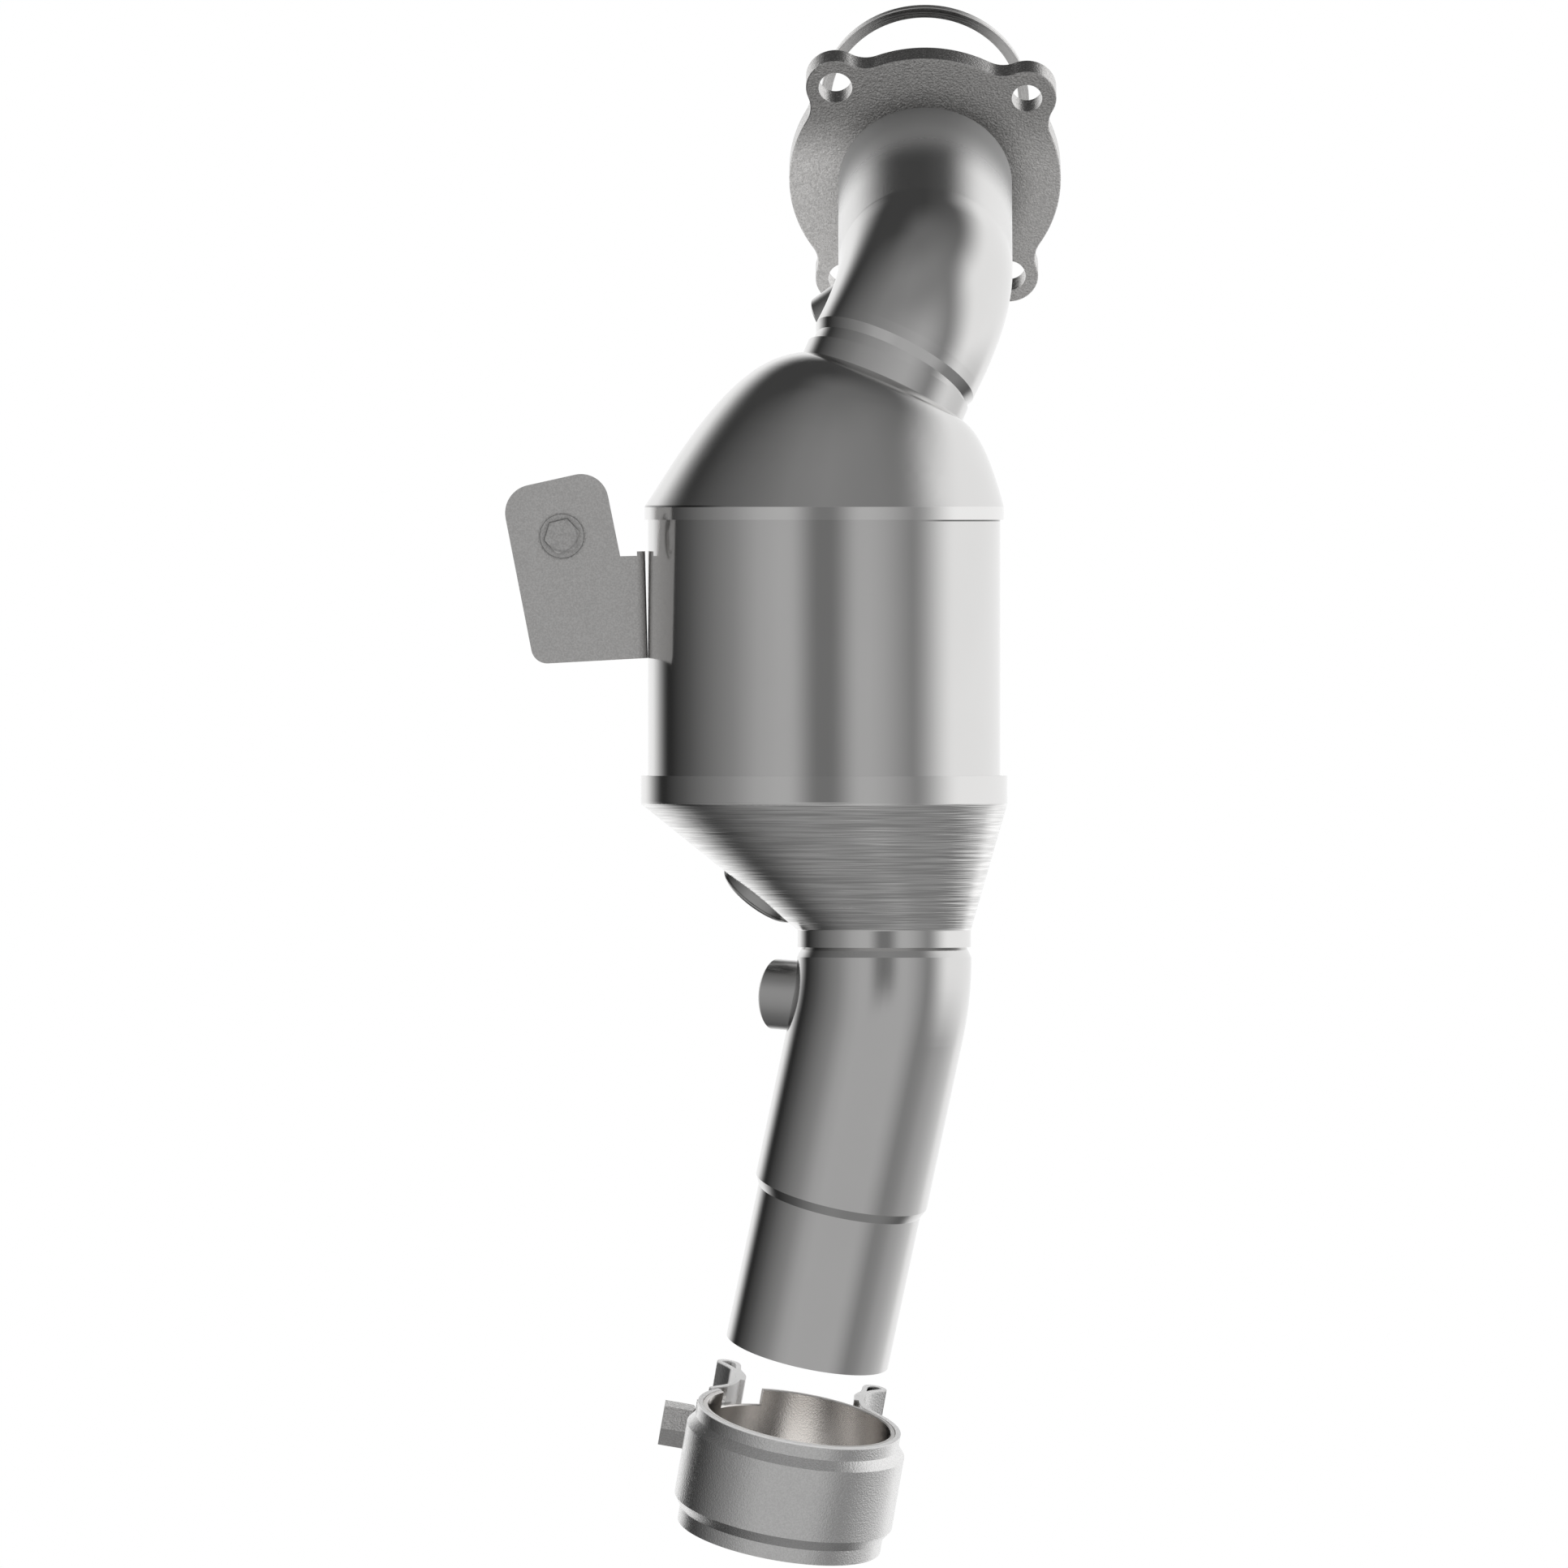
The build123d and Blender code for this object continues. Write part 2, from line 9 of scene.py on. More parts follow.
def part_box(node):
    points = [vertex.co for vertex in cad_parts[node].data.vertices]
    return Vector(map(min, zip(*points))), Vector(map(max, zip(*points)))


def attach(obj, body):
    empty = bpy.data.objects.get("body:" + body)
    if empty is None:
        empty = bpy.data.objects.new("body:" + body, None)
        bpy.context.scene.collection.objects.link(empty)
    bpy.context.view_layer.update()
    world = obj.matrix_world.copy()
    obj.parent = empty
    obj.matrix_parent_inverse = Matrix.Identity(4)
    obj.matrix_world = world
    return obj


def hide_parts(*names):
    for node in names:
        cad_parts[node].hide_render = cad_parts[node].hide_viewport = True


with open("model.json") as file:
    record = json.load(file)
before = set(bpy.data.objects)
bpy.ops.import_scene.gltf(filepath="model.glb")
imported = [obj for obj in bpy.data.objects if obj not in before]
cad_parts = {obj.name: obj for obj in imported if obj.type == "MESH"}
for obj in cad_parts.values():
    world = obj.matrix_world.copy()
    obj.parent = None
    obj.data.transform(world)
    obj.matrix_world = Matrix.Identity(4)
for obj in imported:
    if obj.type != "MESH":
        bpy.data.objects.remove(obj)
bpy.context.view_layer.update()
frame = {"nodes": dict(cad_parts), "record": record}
nodes = frame["nodes"]
mounts = {mount["name"]: mount for mount in frame["record"]["mounts"]}


# Inlet flange. A thick steel plate with a round middle and four ears, cut out and then blasted to an even
# grain.
# The pipe is welded into it; painted shade darkens the plate round the pipe, and painted light makes it
# lighter at its lower sides.
MIDDLE = (0, 0, 0)
RIGHT = (1, 0, 0)
UP = (0, 0, 1)
MOUTH = Vector(mounts["gasket_face"]["axis"])
PLATE_THICK = mounts["flange_hole_upper_left"]["dims"]["length_mm"] / 1000
BLACK = (0.0, 0.0, 0.0, 1)


class Value:
    """A socket's value in a shader, so that sums on it read as they are written."""

    def __init__(self, finish, socket):
        self.finish = finish
        self.socket = socket

    def __add__(self, other):
        return self.finish.math("ADD", self, other)

    def __radd__(self, other):
        return self.finish.math("ADD", other, self)

    def __sub__(self, other):
        return self.finish.math("SUBTRACT", self, other)

    def __rsub__(self, other):
        return self.finish.math("SUBTRACT", other, self)

    def __mul__(self, other):
        return self.finish.math("MULTIPLY", self, other)

    def __rmul__(self, other):
        return self.finish.math("MULTIPLY", other, self)

    def __neg__(self):
        return self.finish.math("SUBTRACT", 0, self)

    def __abs__(self):
        return self.finish.math("ABSOLUTE", self)

    def fade(self, start, end):
        """0 before start, 1 after end and smooth between them."""
        settings = {"interpolation_type": "SMOOTHSTEP"}
        sockets = {"Value": self, "From Min": start, "From Max": end}
        return self.finish.out("ShaderNodeMapRange", settings, sockets)


class Finish:
    """The nodes of one material, or of the light round the object."""

    def __init__(self, block):
        block.use_nodes = True
        self.block = block
        self.tree = block.node_tree
        self.tree.nodes.clear()

    def node(self, kind, settings=None, sockets=None):
        """Adds a node. Its settings come first, a ramp's stops among them, and then its sockets."""
        made = self.tree.nodes.new(kind)
        for name, value in (settings or {}).items():
            if name == "stops":
                ramp = made.color_ramp.elements
                while len(ramp) < len(value):
                    ramp.new(0.5)
                for stop, (place, colour) in zip(ramp, value):
                    stop.position = place
                    stop.color = colour
            else:
                setattr(made, name, value)
        for name, value in (sockets or {}).items():
            if isinstance(value, Value):
                self.tree.links.new(value.socket, made.inputs[name])
            else:
                made.inputs[name].default_value = value
        return made

    def out(self, kind, settings=None, sockets=None, output=0):
        return Value(self, self.node(kind, settings, sockets).outputs[output])

    def math(self, operation, *values):
        return self.out("ShaderNodeMath", {"operation": operation}, dict(enumerate(values)))

    def vector_math(self, operation, *values, output="Vector"):
        settings = {"operation": operation}
        return self.out("ShaderNodeVectorMath", settings, dict(enumerate(values)), output)

    def place(self):
        """Where a point of the surface is in the frame, in metres."""
        return self.out("ShaderNodeTexCoord", output="Object")

    def along(self, origin, axis):
        """How far a point of the surface is from origin along a unit axis."""
        arm = self.vector_math("SUBTRACT", self.place(), origin)
        return self.vector_math("DOT_PRODUCT", arm, axis, output="Value")

    def off_axis(self, origin, axis):
        """How far a point of the surface is from the line through origin along a unit axis."""
        arm = self.vector_math("SUBTRACT", self.place(), origin)
        return self.vector_math("LENGTH", self.vector_math("CROSS_PRODUCT", arm, axis), output="Value")

    def stretched(self, scale):
        """The place with its three sides scaled apart, which gives a noise on it a direction."""
        return self.vector_math("MULTIPLY", self.place(), scale)

    def noise(self, scale, detail=2.0, place=None):
        where = self.place() if place is None else place
        return self.out("ShaderNodeTexNoise", None, {"Vector": where, "Scale": scale, "Detail": detail})

    def tint(self, mask, first, second):
        """The first colour where mask is 0 and the second where it is 1."""
        factor, first_colour, second_colour, mixed_colour = 0, 6, 7, 2
        sockets = {factor: mask, first_colour: first, second_colour: second}
        return self.out("ShaderNodeMix", {"data_type": "RGBA"}, sockets, mixed_colour)

    def bump(self, height, strength, distance):
        sockets = {"Height": height, "Strength": strength, "Distance": distance}
        return self.out("ShaderNodeBump", None, sockets)

    def coat(self, colour, roughness, bump=None, metallic=1.0):
        """Ends a material with its surface."""
        sockets = {"Base Color": colour, "Roughness": roughness, "Metallic": metallic}
        if bump is not None:
            sockets["Normal"] = bump
        surface = self.out("ShaderNodeBsdfPrincipled", None, sockets)
        self.node("ShaderNodeOutputMaterial", None, {"Surface": surface})
        return self.block


def clothe(name, material):
    """Gives the CAD node of that name its material."""
    for place in nodes[name].material_slots:
        place.material = material


def round_edges(name, width):
    """Breaks the sharp edges of the CAD node of that name, so that they catch the light."""
    edge = nodes[name].modifiers.new("edge", "BEVEL")
    edge.width = width
    edge.segments = 2
    edge.limit_method = "ANGLE"
    edge.angle_limit = math.radians(35)
    edge.harden_normals = True


def plate_steel():
    finish = Finish(bpy.data.materials.new("plate_steel"))

    # Only the back face is blasted; the plate's rim and holes are as they were cut. The sides leave
    # out the two upper ears.
    blasted_face = finish.along(MIDDLE, -MOUTH).fade(PLATE_THICK - 0.0007, PLATE_THICK - 0.0002)
    climb = finish.along(MIDDLE, (0, -MOUTH.z, MOUTH.y))
    below_ears = blasted_face * (1 - climb.fade(0.006, 0.034))
    rightward = finish.along(MIDDLE, RIGHT)
    left_side = (-rightward).fade(0.004, 0.032) * below_ears
    right_side = rightward.fade(0.014, 0.040) * below_ears

    # Painted shade round the pipe, darkest next to it and gone 43 mm from its axis; it is left out on the
    # left side.
    painted_junction_shade = 1 - finish.off_axis(MIDDLE, MOUTH).fade(0.030, 0.043)
    sparkle = finish.noise(1400).fade(0.34, 0.66)
    # Painted light on the back face's lower left and right sides, below the upper ears.
    painted_side_light = left_side * 0.36 + right_side * 0.24
    tone = 0.54 + painted_side_light - painted_junction_shade * 0.24 * (1 - left_side) + sparkle * 0.2
    colour = finish.tint(tone, BLACK, (1.0, 0.985, 0.97, 1))

    roughness = 0.16 + blasted_face * 0.18 + finish.noise(700) * 0.12
    grains = finish.noise(1300) * (0.35 + blasted_face * 0.65)
    pits = finish.noise(1100).fade(0.3, 0.7)
    # The sides with painted light are also made less metallic, so that they show pale.
    metallic = 1 - left_side * (0.58 + pits * 0.4) - right_side * 0.22
    return finish.coat(colour, roughness, finish.bump(grains, 0.7, 0.0006), metallic)


clothe("inlet_flange", plate_steel())
round_edges("inlet_flange", 0.0004)
# The polished pipe in the photograph mirrors neither the flange nor the gasket ring.
nodes["inlet_flange"].visible_glossy = False


# Gasket ring. A flat sealing ring of stainless sheet, stamped out and drawn off the flange's face. It is
# brushed round and round, with streaks that are long round it and thin across it; painted light makes it
# pale at its sides.
def gasket_steel():
    finish = Finish(bpy.data.materials.new("gasket_steel"))
    out = finish.off_axis(MIDDLE, MOUTH)
    depth = finish.along(MIDDLE, MOUTH)
    patch = finish.stretched((22, 22, 22))

    def streaks(fineness):
        across = finish.out("ShaderNodeCombineXYZ", None, {"X": out * fineness, "Y": depth * fineness})
        return finish.noise(1.0, 3, finish.vector_math("ADD", across, patch))

    sideways = abs(finish.along(MIDDLE, RIGHT))
    # Painted light on the ring's left and right sides, which are also made less metallic.
    painted_light = sideways.fade(0.010, 0.030)
    brushed = streaks(2400).fade(0.25, 0.7)
    colour = finish.tint(brushed * (1 - painted_light) + painted_light, (0.30, 0.295, 0.29, 1), (1.0, 0.99, 0.98, 1))
    roughness = 0.12 + streaks(1500) * 0.12
    metallic = 1 - 0.6 * sideways.fade(0.010, 0.032)
    return finish.coat(colour, roughness, finish.bump(streaks(3000), 0.35, 0.0003), metallic)


clothe("gasket_ring", gasket_steel())
nodes["gasket_ring"].visible_glossy = False


# Inlet pipe and outlet pipe. Bent stainless tube, sized down at its ends and smooth. The weld to the
# flange has dulled the inlet pipe's straight run, which is also grainy and darkened by painted shade next to
# the flange; its bend is polished.
BEND_START = 0.0748
STAINLESS = (1.0, 0.993, 0.985, 1)


def elbow_steel():
    finish = Finish(bpy.data.materials.new("elbow_steel"))
    run = -finish.along(MIDDLE, MOUTH)
    # Painted shade on the straight run next to the flange, which is also made less metallic there.
    painted_junction_shade = 1 - run.fade(0.018, 0.054)
    dull = 1 - run.fade(0.016, 0.048)
    polished = run.fade(BEND_START - 0.0003, BEND_START + 0.0003)
    grainy = 1 - run.fade(BEND_START - 0.002, BEND_START)

    tone = 0.71 + finish.noise(30) * 0.05 - painted_junction_shade * 0.46
    roughness = 0.16 + dull * 0.26 - polished * 0.06 + finish.noise(900) * 0.02
    bump = finish.bump(finish.noise(2400) * grainy, 0.25, 0.0002)
    return finish.coat(finish.tint(tone, BLACK, STAINLESS), roughness, bump, 1 - painted_junction_shade * 0.75)


def pipe_steel():
    finish = Finish(bpy.data.materials.new("pipe_steel"))
    drawn = finish.stretched((1, 1, 0.2))
    colour = finish.tint(finish.noise(30), (0.696, 0.691, 0.686, 1), (0.74, 0.735, 0.73, 1))
    roughness = 0.08 + finish.noise(900, place=drawn) * 0.06
    return finish.coat(colour, roughness, finish.bump(finish.noise(1200, place=drawn), 0.05, 0.00005))


clothe("inlet_elbow", elbow_steel())
clothe("outlet_pipe", pipe_steel())


# Sensor bungs and the cone's boss. Turned from bar, tapped M18 x 1.5 for a sensor and welded in, so a
# fine thread runs down each hole and faint rings from the tool run round the outside.
SENSOR_PITCH = 0.0015
SENSOR_THREAD_MARGIN = 0.00025
BUNGS = {
    "upper_sensor_bung": ("upper_sensor", 0.66),
    "lower_sensor_bung": ("lower_sensor", 0.66),
    "cone_boss": ("cone_sensor", 0.48),
}


def thread(finish, end, axis, pitch, low, high):
    """Height of a screw thread round an axis, on what lies between two radii."""
    side = axis.orthogonal().normalized()
    turned = finish.math("ARCTAN2", finish.along(end, axis.cross(side)), finish.along(end, side))
    turns = finish.along(end, axis) * (1 / pitch) + turned * (1 / (2 * math.pi))
    ridge = finish.math("PINGPONG", turns, 0.5) * 2
    out = finish.off_axis(end, axis)
    return ridge * out.fade(low - 0.0002, low) * (1 - out.fade(high, high + 0.0002))


def bung_steel(name, hole, tone):
    finish = Finish(bpy.data.materials.new(name))
    end = hole["pos_m"]
    axis = Vector(hole["axis"]).normalized()
    bore = hole["dims"]["r_mm"] / 1000 + SENSOR_THREAD_MARGIN
    colour = finish.tint(tone + finish.noise(60) * 0.1, BLACK, STAINLESS)
    rings = finish.noise(2500, 1, finish.stretched(axis))
    bump = finish.bump(thread(finish, end, axis, SENSOR_PITCH, 0.0, bore), 1.0, 0.0008)
    return finish.coat(colour, 0.2 + rings * 0.08, bump)


for name, (hole, tone) in BUNGS.items():
    clothe(name, bung_steel(name + "_steel", mounts[hole], tone))


# Inlet cone. A dome pressed from stainless sheet, with a leaned neck for the pipe and a rim over the
# can. It is smooth; its rim is lighter, and painted shade darkens the crease above the rim on the left.
RIM_HEIGHT = 0.00475
RIM_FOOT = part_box("inlet_cone")[0].z
RIM_TOP = RIM_FOOT + RIM_HEIGHT


def between(value, low, high, soft):
    """1 from low to high, fading out over soft on both sides."""
    return value.fade(low - soft, low) * (1 - value.fade(high, high + soft))


def dome_steel():
    finish = Finish(bpy.data.materials.new("pressed_steel"))
    height = finish.along(MIDDLE, UP)
    across = finish.along(MIDDLE, RIGHT)
    rim = 1 - height.fade(RIM_TOP - 0.0001, RIM_TOP + 0.0003)
    # Painted shade in the crease just above the rim, on the left.
    painted_rim_shade = between(height, RIM_TOP, RIM_TOP + 0.0004, 0.0003) * between(across, -0.0990, -0.0860, 0.014)
    tone = (0.70 + finish.noise(30) * 0.04 + rim * 0.1) * (1 - painted_rim_shade * 0.75)
    roughness = 0.09 + finish.noise(900) * 0.06
    bump = finish.bump(finish.noise(1200), 0.05, 0.00005)
    return finish.coat(finish.tint(tone, BLACK, STAINLESS), roughness, bump)


clothe("inlet_cone", dome_steel())


# Can. Stainless sheet, rolled round the brick and its mat and welded to both cones. Its grain runs up
# the can, and a painted shadow darkens it just under the dome's rim on the right.
def can_steel():
    finish = Finish(bpy.data.materials.new("can_steel"))
    height = finish.along(MIDDLE, UP)
    across = finish.along(MIDDLE, RIGHT)
    rolled = finish.stretched((1, 1, 0.05))
    # A painted shadow just under the dome's rim, on the right.
    painted_rim_shade = between(height, RIM_FOOT - 0.0005, RIM_FOOT, 0.0002) * between(across, 0.008, 0.026, 0.012)
    tone = (0.70 + finish.noise(30) * 0.04) * (1 - painted_rim_shade * 0.8)
    roughness = 0.07 + finish.noise(900, place=rolled) * 0.06
    bump = finish.bump(finish.noise(1200, place=rolled), 0.05, 0.00005)
    return finish.coat(finish.tint(tone, BLACK, STAINLESS), roughness, bump)


clothe("canister_shell", can_steel())


# Outlet cone. Spun from stainless sheet over a former, so fine marks run round its cone; its sleeve
# and its collar are smooth where they were sized.
CONE_SLEEVE_HEIGHT = 0.01035
CONE_HEIGHT = 0.0465
CONE_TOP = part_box("outlet_cone")[1].z - CONE_SLEEVE_HEIGHT
CONE_FOOT = CONE_TOP - CONE_HEIGHT


def cone_steel():
    finish = Finish(bpy.data.materials.new("spun_steel"))
    rings = finish.stretched((0.02, 0.02, 1))
    spun = between(finish.along(MIDDLE, UP), CONE_FOOT, CONE_TOP, 0.0004)
    marks = finish.noise(1500, place=rings).fade(0.3, 0.7)
    tone = 0.76 + spun * (marks * 0.34 - 0.1)
    roughness = 0.1 + spun * (0.02 + finish.noise(700, place=rings) * 0.06)
    bump = finish.bump(finish.noise(1400, place=rings) * spun, 0.6, 0.0003)
    return finish.coat(finish.tint(tone, BLACK, STAINLESS), roughness, bump)


clothe("outlet_cone", cone_steel())


# Catalyst brick, mat and mesh seals. They can't be seen from outside: a fired ceramic honeycomb, held
# by a grey fibre mat, with a ring of knitted wire at each end of the mat.
CELL = 0.0013
CELL_WALL = 0.00013


def brick_ceramic():
    finish = Finish(bpy.data.materials.new("brick_ceramic"))

    def inside(axis):
        """1 between two walls of the honeycomb."""
        from_wall = finish.math("PINGPONG", finish.along(MIDDLE, axis), CELL / 2)
        return from_wall.fade(CELL_WALL - 0.00003, CELL_WALL + 0.00003)

    # The honeycomb's channels are sunk a little by the bump and painted dark, a painted shade down the
    # holes.
    channel_and_painted_shade = inside(RIGHT) * inside((0, 1, 0))
    colour = finish.tint(channel_and_painted_shade, (0.62, 0.54, 0.43, 1), (0.10, 0.08, 0.06, 1))
    return finish.coat(colour, 0.95, finish.bump(channel_and_painted_shade, 0.6, -0.0004), 0.0)


def fibrous(name, dark, light, fineness, roughness, metallic):
    finish = Finish(bpy.data.materials.new(name))
    fibres = finish.noise(fineness, 4)
    colour = finish.tint(fibres, dark, light)
    return finish.coat(colour, roughness, finish.bump(fibres, 0.6, 0.0004), metallic)


mat_fibre = fibrous("mat_fibre", (0.40, 0.38, 0.34, 1), (0.62, 0.60, 0.56, 1), 500, 0.95, 0.0)
mesh_steel = fibrous("mesh_steel", (0.25, 0.245, 0.24, 1), (0.60, 0.59, 0.58, 1), 900, 0.4, 1.0)
clothe("catalyst_brick", brick_ceramic())
clothe("support_mat", mat_fibre)
clothe("inlet_mat_seal", mesh_steel)
clothe("outlet_mat_seal", mesh_steel)


# Hanger bracket. Cut from steel sheet, with a tab bent back to the can, to which it is welded. It is
# blasted to an even sparkle of grains, with broad faint clouds in it.
BRACKET_DARK = (0.73, 0.72, 0.71, 1)
BRACKET_LIGHT = (0.90, 0.89, 0.88, 1)


def specks(finish):
    """The bright grains of a blasted surface, from 0 to 1."""
    return finish.noise(1500).fade(0.36, 0.66)


def clouded_specks(finish):
    return finish.noise(40, 3) * 0.3 + specks(finish) * 0.7


def blasted(name, dark, light, roughness, strength):
    finish = Finish(bpy.data.materials.new(name))
    colour = finish.tint(clouded_specks(finish), dark, light)
    roughness = roughness - 0.06 + finish.noise(700) * 0.12
    return finish.coat(colour, roughness, finish.bump(finish.noise(1300), strength, 0.0006))


bracket_steel = blasted("bracket_steel", BRACKET_DARK, BRACKET_LIGHT, 0.38, 0.4)
clothe("hanger_bracket", bracket_steel)
round_edges("hanger_bracket", 0.0004)


# Bracket bolt. A forged M8 bolt with a flanged head, put through the bracket from the front and blasted.
# Its shank has a rolled thread, and painted shade darkens the corners round its flats and the rim of its
# flange.
HEAD_FLANGE_R = 0.0083
HEAD_HALF_FLATS = 0.0059
HEAD_TURN = 43.5
BOLT_R = 0.004
BOLT_PITCH = 0.00125
SHANK_LENGTH = 0.0165
pin_mount = mounts["hanger_bolt"]
BOLT_AXIS = Vector(pin_mount["axis"])
BOLT_END = Vector(pin_mount["pos_m"]) + BOLT_AXIS * pin_mount["dims"]["length_mm"] / 2000


def painted_head_shade(finish):
    """Painted shade on the head, as a factor from 0 to 1: dark lines in the corner round its flats and at
    its flange's rim, and a faint dark band inside its flats on its low side, where the corner lines are
    fainter.
    """
    reach = 0
    for pair_of_flats in (0, 60, 120):
        angle = math.radians(HEAD_TURN + pair_of_flats)
        flat = abs(finish.along(BOLT_END, (math.cos(angle), 0, math.sin(angle))))
        reach = finish.math("MAXIMUM", flat, reach)
    out = finish.off_axis(BOLT_END, BOLT_AXIS)
    low_side = finish.along(BOLT_END, (0.6, 0, -0.8)).fade(-0.001, 0.004)
    corner = between(reach, HEAD_HALF_FLATS - 0.0001, HEAD_HALF_FLATS + 0.0001, 0.0002)
    crown = between(out, HEAD_HALF_FLATS - 0.0005, HEAD_HALF_FLATS - 0.0001, 0.0003) * low_side
    rim = out.fade(HEAD_FLANGE_R - 0.0004, HEAD_FLANGE_R - 0.0002)
    return (1 - corner * (0.55 - low_side * 0.4)) * (1 - rim * 0.5) * (1 - crown * 0.25)


def rolled_thread(finish, end, axis, radius, pitch):
    return thread(finish, end, axis, pitch, radius - 0.0003, radius + 0.0001)


def bolt_roughness(finish):
    return 0.34 + finish.noise(700) * 0.1


def bolt_bump(finish, ridges):
    """Ridges between 0 and 1 stand 0.7 mm high, among the grains of the blasting."""
    return finish.bump(ridges * 0.0007 + finish.noise(1300) * 0.00006, 1.0, 1.0)


def bracket_bolt_steel():
    finish = Finish(bpy.data.materials.new("bracket_bolt_steel"))
    # The head's colour is darkened by its painted shade.
    colour = finish.tint(painted_head_shade(finish) * (0.8 + specks(finish) * 0.2), BLACK, BRACKET_LIGHT)
    on_shank = finish.along(BOLT_END, BOLT_AXIS).fade(-SHANK_LENGTH - 0.0005, -SHANK_LENGTH)
    ridges = rolled_thread(finish, BOLT_END, BOLT_AXIS, BOLT_R, BOLT_PITCH) * on_shank
    return finish.coat(colour, bolt_roughness(finish), bolt_bump(finish, ridges))


clothe("bracket_bolt", bracket_bolt_steel())
round_edges("bracket_bolt", 0.0003)


# Clamp band. A steel strap, pressed to a stepped ring, whose two ends fold outwards into hollow lugs
# round the bolt. It is blasted; painted light makes it paler on its lip and where it turns out to its left
# lug. It hangs below the outlet pipe, with its top leaned to the right and to the front.
ring_mount = mounts["clamp_ring"]
CLAMP_HEIGHT = ring_mount["dims"]["length_mm"] / 1000
CLAMP_TOP = Vector(ring_mount["pos_m"]) - Vector(ring_mount["axis"]) * CLAMP_HEIGHT / 2
SIDE_LEAN = Matrix.Rotation(math.radians(9.9), 4, "Y")
FRONT_LEAN = Matrix.Rotation(math.radians(14), 4, "X")
CLAMP_PLACE = Matrix.Translation(CLAMP_TOP) @ SIDE_LEAN @ FRONT_LEAN
CLAMP_X, CLAMP_Y, CLAMP_Z = (CLAMP_PLACE.col[i].xyz for i in range(3))


def strap_steel():
    finish = Finish(bpy.data.materials.new("clamp_steel"))
    sideways = finish.along(CLAMP_TOP, CLAMP_X)
    back = finish.along(CLAMP_TOP, CLAMP_Y).fade(0.018, 0.028)
    near_lug = back * between(sideways, -0.0275, 0.0, 0.001)
    outer_face = finish.off_axis(CLAMP_TOP, CLAMP_Z).fade(0.0366, 0.0372)
    inner_face = (-sideways).fade(0.010, 0.020) * (1 - outer_face)
    turned_out = 1 - (1 - near_lug) * (1 - inner_face)
    lip = finish.along(CLAMP_TOP, CLAMP_Z).fade(-0.0008, -0.0002)
    # Painted light on the lip and where the strap turns out to its left lug; both are also made less
    # metallic.
    painted_light = 1 - (1 - turned_out) * (1 - lip)

    tone = (0.76 + clouded_specks(finish) * 0.12) * (1 - painted_light) + painted_light * 0.97
    roughness = 0.14 + turned_out * 0.2 + finish.noise(700) * 0.12
    metallic = 1 - turned_out * 0.95 - lip * (1 - turned_out) * 0.8
    colour = finish.tint(tone, BLACK, (1.0, 0.994, 0.988, 1))
    return finish.coat(colour, roughness, finish.bump(finish.noise(1700), 0.3, 0.0004), metallic)


clothe("clamp_band", strap_steel())
round_edges("clamp_band", 0.0003)


# Clamp sleeve. A plain ring of stainless sheet inside the strap, notched at both its rims. It is
# polished, with a soft warm colour that painted shade darkens on the right; its top edge is paler, as cut.
SLEEVE_SHEET = 0.0018
SLEEVE_INNER_R = ring_mount["dims"]["r_mm"] / 1000
SLEEVE_OUTER_R = SLEEVE_INNER_R + SLEEVE_SHEET
SLEEVE_EDGE = 0.0004
NOTCH_FROM = math.radians(115.3)
NOTCH_TO = math.radians(148.4)
NOTCH_DEPTH = 0.006
NOTCH_SLOPE = 0.0005


def sleeve_steel():
    finish = Finish(bpy.data.materials.new("sleeve_steel"))
    # Painted shade on the sleeve's right side.
    painted_right_shade = finish.along(CLAMP_TOP, CLAMP_X).fade(0.004, 0.026)
    cut_edge = finish.along(CLAMP_TOP, CLAMP_Z).fade(-0.0006, -0.0002)
    tone = (0.91 + finish.noise(30) * 0.06) * (1 - painted_right_shade * 0.34)
    colour = finish.tint(tone, BLACK, (1.0, 0.975, 0.95, 1))
    roughness = 0.16 + finish.noise(900) * 0.06
    return finish.coat(colour, roughness, finish.bump(finish.noise(1500), 0.12, 0.0003), 1 - cut_edge * 0.7)


def sleeve_ring():
    """The ring stands under its own origin: slices round it, each with the notch's depth at its angle."""
    steps = 240
    angles = [2 * math.pi * step / steps for step in range(steps)]
    slices = [(angle, NOTCH_DEPTH if NOTCH_FROM < angle < NOTCH_TO else 0.0) for angle in angles]
    slices += [(NOTCH_FROM, 0.0), (NOTCH_FROM + NOTCH_SLOPE, NOTCH_DEPTH)]
    slices += [(NOTCH_TO - NOTCH_SLOPE, NOTCH_DEPTH), (NOTCH_TO, 0.0)]
    shape = bmesh.new()
    rings = []
    for angle, cut in sorted(slices):
        top, foot = -cut, cut - CLAMP_HEIGHT
        profile = (
            (SLEEVE_OUTER_R, top - SLEEVE_EDGE), (SLEEVE_OUTER_R - SLEEVE_EDGE, top),
            (SLEEVE_INNER_R + SLEEVE_EDGE, top), (SLEEVE_INNER_R, top - SLEEVE_EDGE),
            (SLEEVE_INNER_R, foot + SLEEVE_EDGE), (SLEEVE_INNER_R + SLEEVE_EDGE, foot),
            (SLEEVE_OUTER_R - SLEEVE_EDGE, foot), (SLEEVE_OUTER_R, foot + SLEEVE_EDGE))
        rings.append([shape.verts.new((r * math.cos(angle), r * math.sin(angle), z)) for r, z in profile])
    for ring, after in zip(rings, rings[1:] + rings[:1]):
        for k in range(len(ring)):
            following = (k + 1) % len(ring)
            shape.faces.new((ring[k], ring[following], after[following], after[k]))
    bmesh.ops.recalc_face_normals(shape, faces=shape.faces)
    return shape


